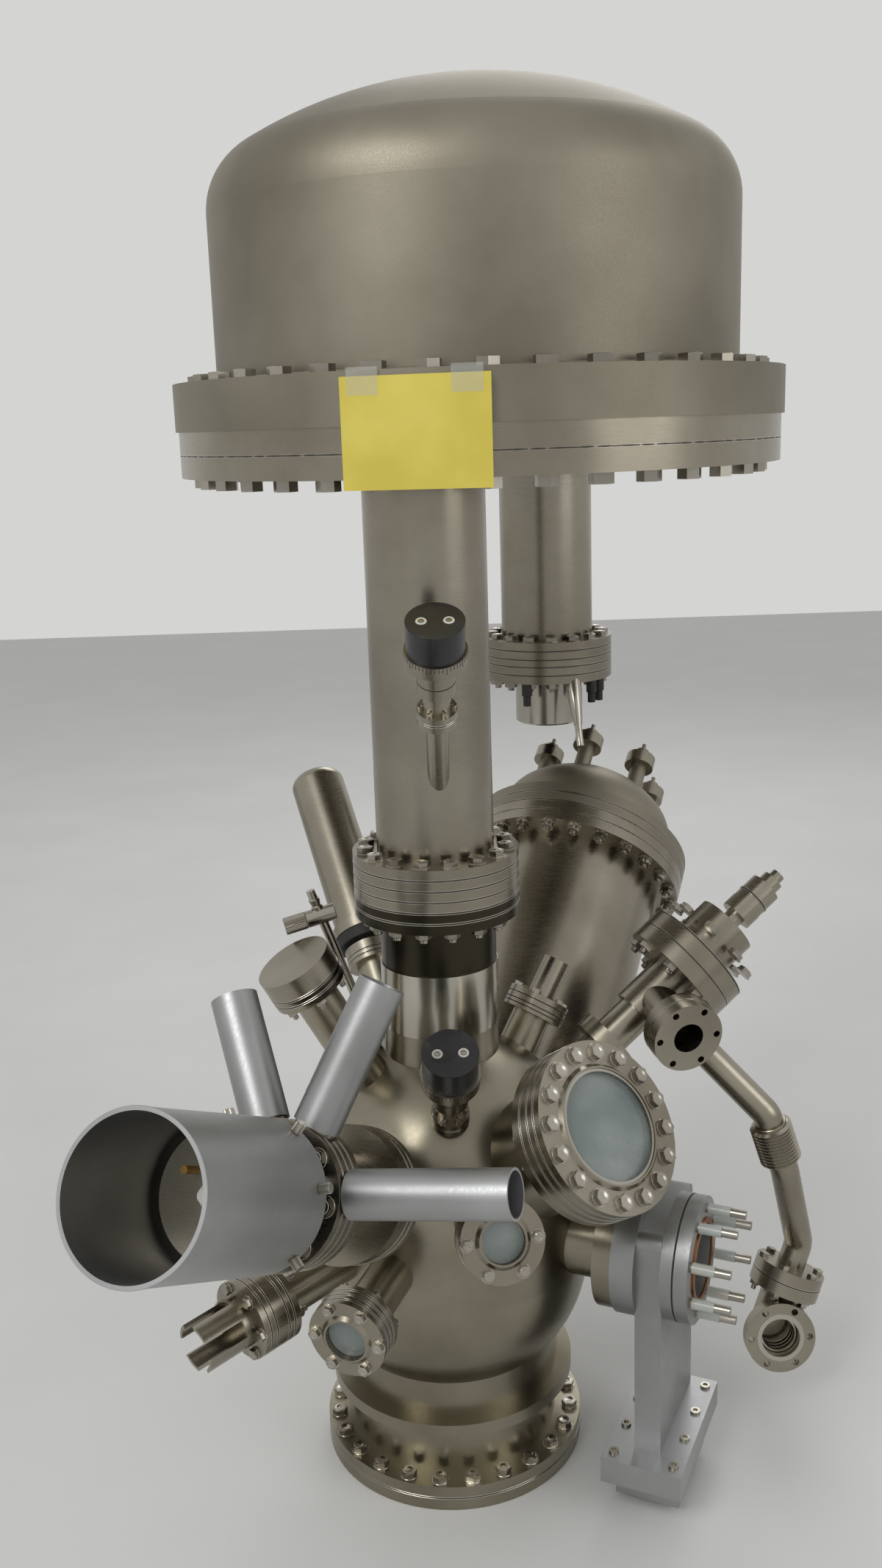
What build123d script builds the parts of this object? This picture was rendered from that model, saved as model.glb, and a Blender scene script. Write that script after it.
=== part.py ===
"""Ultra-high-vacuum analysis chamber with a hemispherical analyser housing on a lens column.

Frame: millimetres, +Z up, origin at the centre of the base flange's underside.  +Y runs from the
front of the chamber to its back and +X to its right.  An azimuth is measured from -Y (the front)
towards +X, and an elevation from the horizontal.
"""
import math
import os
from collections import namedtuple

from build123d import *

# ---------------------------------------------------------------- standard knife-edge flanges
# outer diameter, thickness of one flange, tube outside, bore, bolt circle, bolts, bolt hole radius,
# width across a hexagon head's flats, height of the head
Flange = namedtuple("Flange", "od thick tube bore pcd count hole_r flats head")
DN16 = Flange(34.0, 7.5, 19.0, 16.0, 27.0, 6, 2.2, 7.0, 2.8)
DN35 = Flange(62.0, 8.0, 38.0, 34.0, 50.5, 6, 3.3, 9.0, 4.0)
DN40 = Flange(70.0, 12.7, 41.0, 38.0, 58.7, 6, 3.3, 9.0, 4.0)
DN63 = Flange(114.0, 17.5, 70.0, 66.0, 92.1, 8, 4.2, 13.0, 5.3)
DN25 = Flange(54.0, 10.0, 38.0, 30.0, 43.0, 6, 2.8, 8.0, 3.5)
DN100 = Flange(152.0, 19.8, 107.0, 101.0, 130.2, 16, 4.2, 13.0, 5.3)
DN200 = Flange(253.0, 24.5, 203.0, 197.0, 231.8, 24, 4.2, 13.0, 5.3)

wall = 4.0                      # wall of the chamber's shell
seat = 0.3                      # gap between pieces that are held apart by a gasket or a fit
weld_gap = 0.05                 # gap between pieces that are welded together

# ---------------------------------------------------------------- main chamber
belly_r = 136.0                 # outside radius of the belly
belly_low = 212.0               # height where the dished bottom joins the belly
belly_high = 285.0              # height where the spherical shoulder starts
skirt_r = 104.0                 # cylinder below the dished bottom
skirt_top = 119.0
lip_r = 118.0                   # stiffening ring round the foot of the skirt
lip_z = 72.0
lip_thick = 12.0
stack_z = 548.0                 # underside of the flange stack on the neck
aim_z = 255.0                   # the sample position: the ports point here

# ---------------------------------------------------------------- column and analyser
column_top = 939.0              # underside of the analyser's base plates
lens_plate = 21.0               # lower plate
base_plate = 22.0               # upper plate
big_od = 590.0                  # diameter of the two plates
dome_flange_od = 596.0
dome_flange = 44.0              # thickness of the dome's own flange
dome_od = 510.0
dome_wall = 5.0
dome_straight = 153.0           # straight wall above the dome's flange
crown_r = 450.0                 # inside of the head: shallow crown and tight knuckle
knuckle_r = 66.0
analyser_x = 56.0               # centre of the analyser, half way between its two columns
analyser_y = 217.0
analyser_pcd = 544.0
analyser_bolts = 36
m12_flats = 19.0
m12_head = 7.5
m12_nut = 10.0

sleeve_od = 109.5               # bright open sleeve round the neck
sleeve_wall = 1.0
sleeve_low = 440.0
sleeve_high = 500.0

detector_x = 139.0
detector_y = 440.0
detector_stack_z = 688.0        # underside of the detector's flange pair
detector_shim = 8.4             # double-sided ring between the two flanges
can_od = 50.0
can_len = 56.0

# ---------------------------------------------------------------- tilted rear cylinder
rear_x = 3.0
rear_z = 150.0                  # its axis meets the chamber's axis here
rear_azimuth = 156.2
rear_elevation = 39.6
rear_face = 486.0               # underside of its flange pair, along its axis
cap_straight = 24.0
cap_crown_r = 122.0
cap_knuckle_r = 40.0
feed_ring_r = 66.0              # circle of the six feedthrough tubes on the cap
feed_tube_len = 96.0            # from the flange's top face


# ---------------------------------------------------------------- shared helpers
def heading(azimuth, elevation):
    """Unit vector of an outward direction."""
    a, e = math.radians(azimuth), math.radians(elevation)
    return Vector(math.sin(a) * math.cos(e), -math.cos(a) * math.cos(e), math.sin(e))


def outward(origin, direction):
    """Location whose Z axis is the direction and whose X axis is level."""
    level = Vector(0, 0, 1).cross(direction)
    if level.length < 1e-6:
        level = Vector(1, 0, 0)
    return Plane(origin=origin, x_dir=level, z_dir=direction).location


def rod(radius, low, high):
    """Solid cylinder along Z between two heights."""
    return Pos(0, 0, low) * Cylinder(radius, high - low, align=(Align.CENTER, Align.CENTER, Align.MIN))


def tube(outer_r, inner_r, low, high):
    """Open tube along Z between two heights."""
    return rod(outer_r, low, high) - rod(inner_r, low - 1, high + 1)


def ring_points(count, pcd, start=0.0):
    """Points of a bolt circle."""
    for i in range(count):
        a = math.radians(start + 360.0 * i / count)
        yield pcd / 2 * math.cos(a), pcd / 2 * math.sin(a), math.degrees(a)


def hexagons(count, pcd, flats, low, height, start=0.0):
    """Hexagon heads or nuts on a bolt circle, as separate solids."""
    head = extrude(RegularPolygon(flats / math.sqrt(3), 6), height)
    return [Pos(x, y, low) * Rot(0, 0, turn) * head for x, y, turn in ring_points(count, pcd, start)]


def holes(spec, low, high, start=0.0):
    """Clearance holes of a flange, to be cut away."""
    return [Pos(x, y, 0) * rod(spec.hole_r, low - 1, high + 1)
            for x, y, _ in ring_points(spec.count, spec.pcd, start)]


def dished_profile(outer_r, straight_top, crown, knuckle):
    """Half outline of a domed head: straight wall, knuckle and crown, from the axis back to it."""
    centre_r = outer_r - knuckle
    crown_z = straight_top - math.sqrt((crown - knuckle) ** 2 - centre_r ** 2)
    half = math.atan2(straight_top - crown_z, centre_r)
    joint = (crown * math.cos(half), crown_z + crown * math.sin(half))
    mid = half / 2
    knee = (centre_r + knuckle * math.cos(mid), straight_top + knuckle * math.sin(mid))
    rise = (half + math.pi / 2) / 2
    middle = (crown * math.cos(rise), crown_z + crown * math.sin(rise))
    apex = (0, crown_z + crown)
    return joint, knee, middle, apex


def dished_head(outer_r, low, straight_top, crown, knuckle):
    """Solid of revolution: a cylinder closed by a domed head."""
    joint, knee, middle, apex = dished_profile(outer_r, straight_top, crown, knuckle)
    outline = Line((0, low), (outer_r, low)) + Line((outer_r, low), (outer_r, straight_top))
    outline += ThreePointArc((outer_r, straight_top), knee, joint)
    outline += ThreePointArc(joint, middle, apex)
    outline += Line(apex, (0, low))
    return revolve(make_face(Plane.XZ * outline), Axis.Z)


def save(name, shape):
    """Write one node: a single solid, or a group of separate solids."""
    if isinstance(shape, list):
        shape = Compound(children=[s.solid() for s in shape])
    export_step(shape, f"parts/{name}.step")


aim = Vector(0, 0, aim_z)

# ---------------------------------------------------------------- ports of the chamber
# name: origin, azimuth, elevation, flange, distance of the welded flange's outer face, bored
Port = namedtuple("Port", "origin azimuth elevation spec face bored")
PORTS = {
    "big_view": Port(aim, 45.0, 35.0, DN100, 226.0, True),
    "left_view": Port(aim, -22.5, -3.0, DN40, 215.0, True),
    "front_view": Port(aim, 11.0, 20.5, DN40, 237.0, True),
    "gun": Port(aim, -25.0, 28.0, DN63, 216.0, True),
    "slotted": Port(aim, -46.0, -3.5, DN40, 225.0, False),
    "vent": Port(aim, -70.0, 62.0, DN40, 279.0, False),
    "spare": Port(Vector(-44.0, 65.0, 313.0), -100.0, 33.0, DN40, 92.0, True),
    "slant": Port(aim, -157.5, 44.0, DN25, 262.0, False),
    "flood": Port(aim, 128.0, 53.5, DN35, 199.0, False),
    "ion": Port(aim, 110.5, 36.3, DN35, 213.0, False),
    "valve": Port(Vector(0, 0, 238.0), 66.0, 0.0, DN63, 181.5, False),
    "rear": Port(Vector(rear_x, 0, rear_z), rear_azimuth, rear_elevation, DN200, rear_face + 24.5, True),
}


def port_at(name):
    """Location of a port: Z runs outwards from its origin."""
    port = PORTS[name]
    return outward(port.origin, heading(port.azimuth, port.elevation))


def cavity():
    """The chamber's inside, a wall thickness in from its shell."""
    neck = DN100.bore / 2
    inner = belly_r - wall
    rise = math.sqrt(inner ** 2 - neck ** 2)
    arc_mid = math.radians(35)
    outline = Polyline((0, 24.5), (skirt_r - wall, 24.5), (skirt_r - wall, skirt_top),
                       (inner, belly_low), (inner, belly_high))
    outline += ThreePointArc((inner, belly_high),
                             (inner * math.cos(arc_mid), belly_high + inner * math.sin(arc_mid)),
                             (neck, belly_high + rise))
    outline += Polyline((neck, belly_high + rise), (neck, stack_z + 40), (0, stack_z + 40), (0, 24.5))
    return revolve(make_face(Plane.XZ * outline), Axis.Z)


def chamber_shell():
    """Base flange, lip, skirt, dished bottom, belly, spherical shoulder, neck and neck flange."""
    neck = DN100.tube / 2
    rise = math.sqrt(belly_r ** 2 - neck ** 2)
    arc_mid = math.radians(35)
    bulge = ((belly_r + skirt_r) / 2 + 7.0, (belly_low + skirt_top) / 2 - 9.0)
    base = DN200
    outline = Polyline((0, 0), (base.od / 2, 0), (base.od / 2, base.thick), (base.tube / 2, base.thick),
                       (base.tube / 2, lip_z), (lip_r, lip_z), (lip_r, lip_z + lip_thick),
                       (skirt_r, lip_z + lip_thick), (skirt_r, skirt_top))
    outline += ThreePointArc((skirt_r, skirt_top), bulge, (belly_r, belly_low))
    outline += Line((belly_r, belly_low), (belly_r, belly_high))
    outline += ThreePointArc((belly_r, belly_high),
                             (belly_r * math.cos(arc_mid), belly_high + belly_r * math.sin(arc_mid)),
                             (neck, belly_high + rise))
    outline += Polyline((neck, belly_high + rise), (neck, stack_z), (DN100.od / 2, stack_z),
                        (DN100.od / 2, stack_z + DN100.thick), (0, stack_z + DN100.thick), (0, 0))
    return revolve(make_face(Plane.XZ * outline), Axis.Z)


def welded_port(name):
    """Tube and fixed flange of one port, solid from its origin outwards."""
    port = PORTS[name]
    inner = 60.0 if port.face > 100 else 0.0
    solid = rod(port.spec.tube / 2, inner, port.face - port.spec.thick / 2)
    solid += rod(port.spec.od / 2, port.face - port.spec.thick, port.face)
    return port_at(name) * solid


def port_bore(name):
    """Bore of one port, from inside the chamber to past its face."""
    port = PORTS[name]
    inner = 60.0 if port.face > 100 else 0.0
    return port_at(name) * rod(port.spec.bore / 2, inner, port.face + 1)


drive_low_point = Vector(5.0, -84.0, 362.0)     # stub of the lower knob drive on the shoulder
drive_low_dir = heading(2.0, 58.0)
drive_high_point = Vector(5.0, -48.0, 683.0)    # stub of the upper knob drive on the column
drive_high_dir = heading(1.0, 60.0)
drive_low_stub = 32.0
drive_high_stub = 74.0


def stub(length, start=-14.0):
    """Small welded tube with its half of a flange pair."""
    return rod(DN16.tube / 2, start, length - 1) + rod(DN16.od / 2, length - DN16.thick, length)


own_ports = ("spare", "rear")   # welded to the shell as pieces of their own


def port_room(name):
    """Room of a separate port in the shell and between its neighbours."""
    port = PORTS[name]
    inner = 60.0 if port.face > 100 else 0.0
    room = rod(port.spec.tube / 2 + weld_gap, inner, port.face + 1)
    room += rod(port.spec.od / 2 + weld_gap, port.face - port.spec.thick - weld_gap, port.face + 1)
    return port_at(name) * room


def main_chamber():
    """Shell with every port but the two that are pieces of their own."""
    body = chamber_shell()
    for name in PORTS:
        if name not in own_ports:
            body += welded_port(name)
    body += outward(drive_low_point, drive_low_dir) * stub(drive_low_stub)
    body -= cavity()
    for name, port in PORTS.items():
        if name in own_ports:
            body -= port_room(name)
        elif port.bored:
            body -= port_bore(name)
    return body


def own_port(name):
    """Open port piece, ending at the inside of the shell."""
    return welded_port(name) - port_bore(name) - cavity()


def spare_port():
    """Open port with its empty bolt holes."""
    body = own_port("spare")
    face = PORTS["spare"].face
    for hole in holes(DN40, face - DN40.thick, face):
        body -= port_at("spare") * hole
    return body


# ---------------------------------------------------------------- column, plates and dome
stack_top = stack_z + 3 * DN100.thick
plate_mid = column_top + lens_plate
dome_z = plate_mid + base_plate
centre = Pos(analyser_x, analyser_y, 0)


def column_tube():
    """Lens column: lower flange, tube and the stub of the upper knob drive."""
    body = rod(DN100.tube / 2, stack_top - 1, column_top) + rod(DN100.od / 2, stack_top - DN100.thick, stack_top)
    body += outward(drive_high_point, drive_high_dir) * stub(drive_high_stub)
    return body - rod(DN100.bore / 2, stack_top - DN100.thick - 1, column_top + 1)


def column_spacer():
    """Plain double-sided flange between the neck and the column."""
    return tube(DN100.od / 2, DN100.bore / 2, stack_z + DN100.thick, stack_z + 2 * DN100.thick)


def plate(od, low, high):
    """Round plate of the analyser with its two column openings."""
    body = centre * rod(od / 2, low, high)
    body -= rod(DN100.bore / 2, low - 1, high + 1)
    return body - Pos(detector_x, detector_y, 0) * rod(DN100.bore / 2, low - 1, high + 1)


def analyser_dome():
    """Flanged dome of even wall thickness."""
    top = dome_z + dome_flange
    straight = top + dome_straight
    body = dished_head(dome_od / 2, dome_z, straight, crown_r, knuckle_r)
    body += rod(dome_flange_od / 2, dome_z, top)
    inner = dome_od / 2 - dome_wall
    slope_r = inner - knuckle_r
    roof = Polyline((0, dome_z - 1), (inner, dome_z - 1), (inner, straight),
                    (slope_r, straight + knuckle_r * 0.86), (0, straight + knuckle_r * 1.5),
                    (0, dome_z - 1))
    return centre * (body - revolve(make_face(Plane.XZ * roof), Axis.Z))


detector_top = detector_stack_z + 2 * DN100.thick + detector_shim


def detector_column():
    """Hanging detector tube with its upper flange."""
    spec = DN100
    top = detector_top
    body = rod(spec.tube / 2, top - 1, column_top) + rod(spec.od / 2, top - spec.thick, top)
    return Pos(detector_x, detector_y, 0) * (body - rod(spec.bore / 2, top - spec.thick - 1, column_top + 1))


def detector_spacer():
    low = detector_stack_z + DN100.thick
    return Pos(detector_x, detector_y, 0) * tube(DN100.od / 2, DN100.bore / 2, low, low + detector_shim)


def detector_cap():
    """Lower detector flange with its round can."""
    body = rod(DN100.od / 2, detector_stack_z, detector_stack_z + DN100.thick)
    body += rod(can_od / 2, detector_stack_z - can_len, detector_stack_z + 1)
    return Pos(detector_x, detector_y, 0) * body


# ---------------------------------------------------------------- rear cap
def rear_cap():
    """Flange and domed cap with six feedthrough tubes."""
    low = PORTS["rear"].face
    top = low + DN200.thick
    body = dished_head(DN200.tube / 2, low, top + cap_straight, cap_crown_r, cap_knuckle_r)
    body += rod(DN200.od / 2, low, top)
    for x, y, _ in ring_points(6, 2 * feed_ring_r, 30):
        body += Pos(x, y, 0) * rod(DN16.tube / 2, top + 10, top + feed_tube_len)
    return port_at("rear") * body


def rear_feedthroughs():
    """Six small flange pairs, each with its centre pin."""
    low = PORTS["rear"].face + DN200.thick + feed_tube_len
    pieces = []
    for x, y, _ in ring_points(6, 2 * feed_ring_r, 30):
        body = rod(DN16.od / 2, low, low + 2 * DN16.thick)
        body += rod(8.0, low + 2 * DN16.thick - 1, low + 24.0)
        body += rod(2.5, low + 23.0, low + 34.0)
        pieces.append(port_at("rear") * Pos(x, y, 0) * body)
    return pieces



# ---------------------------------------------------------------- viewports
view_thick = 17.0               # flange of the large viewport
small_view_thick = 12.7
glass_thick = 5.0
glass_depth = 3.0               # the glass lies this far below the flange's face
bevel_high = 3.0                # raised ring round the glass
bevel_wide = 5.0

# ---------------------------------------------------------------- electron gun, along its axis
gun_tube_top = 312.0
gun_flange_top = 352.0
gun_boss_at = 331.0             # axis of the three side tubes
shroud_low = 373.0
shroud_rim = 538.0
shroud_wall = 2.5
gun_head_r = 30.0
gun_disc_r = 49.0
gun_disc_at = 420.0
gun_disc_thick = 10.0
side_tube_od = 38.0
side_tube_wall = 2.0
side_tubes = {"focus": (10.6, 131.0), "right": (73.5, 120.0), "left": (119.0, 105.0)}

# ---------------------------------------------------------------- ion gun, along its axis
ion_waist = 256.0
ion_body_top = 309.0
ion_body_r = 24.5
ion_stack = 17.0                # each of its two large flanges
ion_head_r = 32.0
ion_head_len = 42.0
ion_tip_tube = 14.0
side_at = 279.0                 # the side port leaves the gun's body here
side_azimuth = 16.0
side_elevation = -7.0
side_face = 84.0
side_pipe_at = 19.0             # the pumping line leaves the side port's tube here

# ---------------------------------------------------------------- gate valve, along its port's axis
hub_top = 202.0
hub_od = 119.0
housing_thick = 24.4
housing_near = 48.0             # from the port's axis towards the front
housing_far = 65.0
housing_up = 42.0
housing_down = 177.0
housing_round = 12.0
gate_r = 36.0
gate_thick = 8.0
gate_gap = 1.0                  # free space on each side of the gate
gate_travel = 75.0
adapter_thick = 24.6
gasket_thick = 2.0
gasket_r = 38.5
stud_r = 4.0
stud_len = 36.0
bonnet_half = 72.0
bonnet_thick = 25.0
actuator_half = 48.0
actuator_high = 28.0

# ---------------------------------------------------------------- pumping line
pipe_r = 14.0
pipe_knee = Vector(314.0, 18.0, 319.0)
bellows_end = Vector(330.0, 21.0, 269.0)
bellows_run = (bellows_end - pipe_knee).normalized()
bellows_top = pipe_knee + bellows_run * 12.0
cuff = 14.0                     # straight end of the lower pipe in the bellows' direction
pipe_bend = Vector(358.0, 50.0, 158.0)
tee_up = Vector(0.35, 0.2, 0.915).normalized()
tee_front = Vector(0.03, -0.98, 0.19).normalized()
bend_to_flange = 38.0
tee_leg = 50.0
tee_face = 38.0
bellows_r = 20.5
bellows_root_r = 17.0
bellows_rings = 11

# ---------------------------------------------------------------- knob drives
knob_r = 24.0
knob_len = 28.0
dial_r = 26.0
dial_len = 12.0
collar_r = 16.0
collar_len = 50.0

# ---------------------------------------------------------------- card
card_w = 124.0
card_h = 90.0
card_thick = 1.0


def viewport_flange(name, thick, window_r):
    """Viewport flange: stepped bore for the glass and a raised bevelled ring round it."""
    port = PORTS[name]
    top = port.face + thick
    ring = window_r + bevel_wide
    body = rod(port.spec.od / 2, port.face, top)
    body += Pos(0, 0, top) * Cone(ring, ring - bevel_high, bevel_high, align=(Align.CENTER, Align.CENTER, Align.MIN))
    body -= rod(window_r - 4.0, port.face - 1, top + bevel_high + 1)
    body -= rod(window_r + seat, top - glass_depth - glass_thick, top + bevel_high + 1)
    return port_at(name) * body


def viewport_glass(name, thick, window_r):
    """Window, resting on the step of its flange."""
    port = PORTS[name]
    low = port.face + thick - glass_depth - glass_thick
    return port_at(name) * rod(window_r, low, low + glass_thick)


def flange_bolts(place, spec, level, start=0.0, count=None, height=None):
    """Hexagon heads standing on a flange's face."""
    return [place * h for h in hexagons(count or spec.count, spec.pcd, spec.flats, level, height or spec.head, start)]


# ---------------------------------------------------------------- electron gun
def gun_body():
    """Flange, tube and the thick double flange with its three side bosses."""
    face = PORTS["gun"].face
    body = rod(DN63.od / 2, face, face + 20.0) + rod(DN63.tube / 2, face, gun_tube_top + 1)
    body += rod(DN63.od / 2, gun_tube_top, gun_flange_top)
    boss_r = side_tube_od / 2 - side_tube_wall - seat
    for angle, _ in side_tubes.values():
        radial = Rot(0, 0, angle) * Pos(0, 0, gun_boss_at) * Rot(0, 90, 0)
        body += radial * rod(boss_r, DN63.od / 2 - 15, DN63.od / 2 + 10)
    body -= rod(20.0, gun_flange_top - 6, gun_flange_top + 1)
    return port_at("gun") * body


def gun_side_tubes():
    """Open aluminium tubes over the side bosses."""
    low = DN63.od / 2 + seat
    outer = side_tube_od / 2
    pieces = []
    for angle, length in side_tubes.values():
        radial = Rot(0, 0, angle) * Pos(0, 0, gun_boss_at) * Rot(0, 90, 0)
        pieces.append(port_at("gun") * radial * tube(outer, outer - side_tube_wall, low, low + length))
    return pieces


def gun_shroud():
    """Open aluminium shroud with an inner foot ring on four posts."""
    outer = DN63.od / 2
    body = tube(outer, outer - shroud_wall, shroud_low, shroud_rim)
    body += tube(outer, 40.0, shroud_low, shroud_low + 3)
    for x, y, _ in ring_points(4, DN63.pcd, 22.5):
        body += Pos(x, y, 0) * rod(4.0, gun_flange_top, shroud_low + 1)
    return port_at("gun") * body


def gun_head():
    """Feedthrough column with its round end disc."""
    low = gun_flange_top - 6
    body = rod(20.0 - seat, low, low + 8) + rod(gun_head_r, gun_flange_top, gun_disc_at + 1)
    body += rod(gun_disc_r, gun_disc_at, gun_disc_at + gun_disc_thick)
    return port_at("gun") * body


def gun_pins():
    """Contacts standing on the end disc."""
    top = gun_disc_at + gun_disc_thick
    spots = [(-22.0, 14.0, 3.0, 16.0), (18.0, 20.0, 3.0, 16.0), (4.0, -24.0, 4.5, 20.0)]
    return [port_at("gun") * Pos(x, y, 0) * rod(r, top, top + high) for x, y, r, high in spots]


def gun_ceramic():
    """White insulator in the middle of the end disc."""
    top = gun_disc_at + gun_disc_thick
    body = rod(9.0, top, top + 12) + rod(5.0, top + 11, top + 20)
    return port_at("gun") * body


# ---------------------------------------------------------------- small ports on the left
def slotted_tube():
    """Blank flange carrying a tube cut into four prongs."""
    low = PORTS["slotted"].face
    top = low + 2 * DN40.thick
    body = rod(DN40.od / 2, low, top) + tube(22.0, 19.0, top - 1, top + 48)
    for turn in (0, 90):
        body -= Rot(0, 0, turn + 20) * Pos(0, 0, top + 30) * Box(60, 15, 40)
    return port_at("slotted") * body


def vent_blank():
    """Thick blank flange with the tapped boss of the vent valve."""
    low = PORTS["vent"].face
    return port_at("vent") * rod(DN40.od / 2, low, low + 19.0)


def slant_tube():
    """Long capped tube on a small flange."""
    low = PORTS["slant"].face
    neck = DN25.tube / 2
    outline = Polyline((0, low), (DN25.od / 2, low), (DN25.od / 2, low + 10), (neck, low + 10), (neck, 288),
                       (33, 288), (33, 299), (29.5, 299), (29.5, 481))
    outline += ThreePointArc((29.5, 481), (25.5, 489.5), (17.5, 493))
    outline += Polyline((17.5, 493), (0, 493), (0, low))
    return port_at("slant") * revolve(make_face(Plane.XZ * outline), Axis.Z)


def slant_collar():
    """Dark ring between the small flange and the tube's own flange."""
    return port_at("slant") * tube(32.0, DN25.tube / 2 + seat, 276.0, 288.0)


def flood_gun():
    low = PORTS["flood"].face
    return port_at("flood") * (rod(DN35.od / 2, low, low + 12) + rod(13.5, low + 11, low + 52))


# ---------------------------------------------------------------- ion gun with its side port
def side_place():
    """Location of the gun's side port: Z runs outwards from the gun's axis."""
    start = aim + heading(PORTS["ion"].azimuth, PORTS["ion"].elevation) * side_at
    return outward(start, heading(side_azimuth, side_elevation))


def ion_gun_body():
    """Waisted gun body, first large flange and the open side port."""
    low = PORTS["ion"].face
    gun = rod(DN35.od / 2, low, low + DN35.thick) + rod(DN35.tube / 2, low + 1, ion_waist + 1)
    gun += rod(ion_body_r, ion_waist, ion_body_top + 1)
    gun += rod(DN63.od / 2, ion_body_top, ion_body_top + ion_stack)
    side = rod(DN40.tube / 2, 0, side_face - 1) + rod(DN40.od / 2, side_face - 2 * DN40.thick, side_face)
    body = port_at("ion") * gun + side_place() * side
    body -= side_place() * rod(15.0, 14.0, side_face + 1)
    for hole in holes(DN40, side_face - 2 * DN40.thick, side_face):
        body -= side_place() * hole
    return body


def ion_gun_head():
    """Third flange, round head and the stem of the tip."""
    low = ion_body_top + ion_stack
    top = low + ion_stack
    end = top + ion_head_len
    body = rod(DN63.od / 2, low, top) + rod(ion_head_r, top - 1, end)
    body += rod(DN16.tube / 2, end - 1, end + ion_tip_tube) + rod(DN16.od / 2, end + ion_tip_tube - 1, ion_tip_low)
    return port_at("ion") * body


ion_tip_low = ion_body_top + 2 * ion_stack + ion_head_len + ion_tip_tube + DN16.thick - 1


def ion_gun_tip():
    """Stepped connector at the end of the gun."""
    low = ion_tip_low
    body = rod(DN16.od / 2, low, low + DN16.thick) + rod(16.5, low + 6, low + 35)
    body += rod(11.0, low + 34, low + 46) + rod(7.0, low + 45, low + 54)
    return port_at("ion") * body


# ---------------------------------------------------------------- gate valve
def valve_body():
    """Port flange, hub and flat housing with the gate's pocket."""
    face = PORTS["valve"].face
    body = rod(hub_od / 2, face, hub_top + 1)
    wide = housing_near + housing_far
    mid = (housing_far - housing_near) / 2
    slab = Pos(mid, (housing_up - housing_down) / 2, hub_top + housing_thick / 2) * Box(
        wide, housing_up + housing_down, housing_thick)
    top_edges = slab.edges().filter_by(Axis.Z).group_by(Axis.Y)[-1]
    body += fillet(top_edges, housing_round)
    body -= rod(33.0, face - 1, hub_top + housing_thick + 1)
    room = gate_thick + 2 * gate_gap
    level = hub_top + housing_thick / 2
    pocket_r = gate_r + gate_gap
    body -= Pos(0, 0, level - room / 2) * rod(pocket_r, 0, room)
    deep = housing_down + 1
    body -= Pos(0, -deep / 2, level) * Box(2 * pocket_r, deep, room)
    return port_at("valve") * body


def gate_plate():
    """Round gate with its short stem, closed."""
    level = hub_top + housing_thick / 2 - gate_thick / 2
    body = rod(gate_r, level, level + gate_thick)
    body += Pos(0, -gate_r - 10, level + gate_thick / 2) * Box(20, 30, gate_thick)
    return port_at("valve") * body


def valve_adapter():
    low = hub_top + housing_thick
    return port_at("valve") * tube(DN63.od / 2, 33.0, low, low + adapter_thick)


def copper_gasket():
    low = hub_top + housing_thick + adapter_thick
    return port_at("valve") * tube(gasket_r, 33.0, low, low + gasket_thick)


def valve_studs():
    low = hub_top + housing_thick + adapter_thick
    return [port_at("valve") * Pos(x, y, 0) * rod(stud_r, low, low + stud_len)
            for x, y, _ in ring_points(8, DN63.pcd, 22.5)]


def valve_bonnet():
    """Stepped foot of the housing."""
    level = hub_top + housing_thick / 2
    body = Pos(0, -housing_down - bonnet_thick / 2, level) * Box(2 * bonnet_half, bonnet_thick, 75)
    return port_at("valve") * body


def valve_actuator():
    level = hub_top + housing_thick / 2
    low = housing_down + bonnet_thick
    body = Pos(0, -low - actuator_high / 2, level) * Box(2 * actuator_half, actuator_high, 60)
    return port_at("valve") * body


# ---------------------------------------------------------------- pumping line
def pipe(points, radius, bends):
    """Round pipe along straight runs with swept elbows, one bend radius for each corner."""
    path = FilletPolyline(*points, radius=bends)
    start = Plane(origin=path @ 0, z_dir=path % 0)
    return sweep(start * Circle(radius), path=path)


def pipe_upper():
    """From the gun's side port to the bellows."""
    place = side_place()
    start = (place * Pos(0, 0, side_pipe_at)).position
    body = pipe([start, pipe_knee, bellows_top], pipe_r, [16.0])
    body -= place * rod(DN40.tube / 2 + seat, -20, side_face)
    return body - port_at("ion") * rod(ion_body_r + seat, ion_waist, ion_body_top)


def bellows():
    """Convoluted section, its ribs drawn as one zigzag profile."""
    run = bellows_end - bellows_top
    pitch = run.length / bellows_rings
    points = [(0, 0)]
    for i in range(bellows_rings):
        points += [(bellows_root_r, i * pitch), (bellows_r, (i + 0.5) * pitch)]
    points += [(bellows_root_r, run.length), (0, run.length), (0, 0)]
    body = revolve(make_face(Plane.XZ * Polyline(*points)), Axis.Z)
    return outward(bellows_top, run.normalized()) * body


flange_top = pipe_bend - tee_up * bend_to_flange
tee_centre = flange_top - tee_up * tee_leg


def pipe_lower():
    """From the bellows to the upper flange of the tee."""
    cuff_end = bellows_end + bellows_run * cuff
    body = pipe([bellows_end, cuff_end, pipe_bend, flange_top + tee_up], pipe_r, [24.0, 20.0])
    return body + outward(flange_top, tee_up) * rod(DN40.od / 2, 0, DN40.thick)


def tee():
    """Bent fitting with an open front port and empty bolt holes."""
    up = outward(tee_centre, tee_up)
    front = outward(tee_centre, tee_front)
    body = up * (rod(DN40.tube / 2, 0, tee_leg - 1) + rod(DN40.od / 2, tee_leg - DN40.thick, tee_leg))
    body += Pos(*tee_centre) * Sphere(DN40.tube / 2)
    body += front * (rod(DN40.tube / 2, 0, tee_face - 1) + rod(DN40.od / 2, tee_face - DN40.thick, tee_face))
    body -= front * rod(DN40.bore / 2, 0, tee_face + 1)
    for hole in holes(DN40, tee_face - DN40.thick, tee_face):
        body -= front * hole
    return body


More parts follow.
